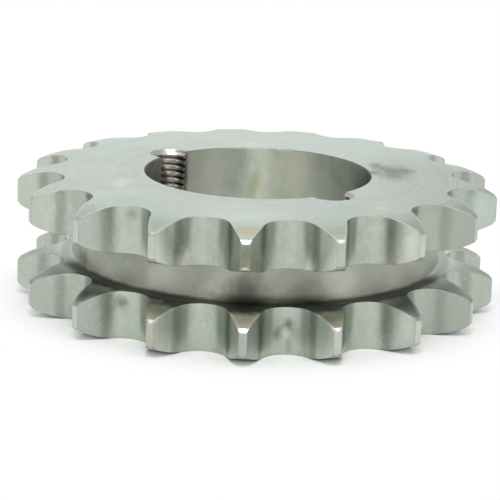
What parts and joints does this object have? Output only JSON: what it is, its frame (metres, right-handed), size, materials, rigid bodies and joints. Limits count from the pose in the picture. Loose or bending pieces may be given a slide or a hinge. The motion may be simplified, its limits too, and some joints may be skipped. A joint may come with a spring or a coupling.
{
  "type": "chain sprocket",
  "caption": "Double-row roller chain sprocket with flush faces, a plain groove between the rows and a tapered bore for a split taper bush",
  "frame": {"origin": "on the bore axis, in the face at the large end of the bore's taper, on which the sprocket rests", "axes": "+Z along the bore axis, from the large end of the taper to the small end; -Y through the middle of one tooth of each row"},
  "size_m": [0.1114, 0.111, 0.0303],
  "materials": {
    "machined_steel": "turned and hobbed bare steel with light tarnish and a few stains"
  },
  "bodies": {
    "root": {"sprocket": "machined_steel"}
  },
  "joints": []
}
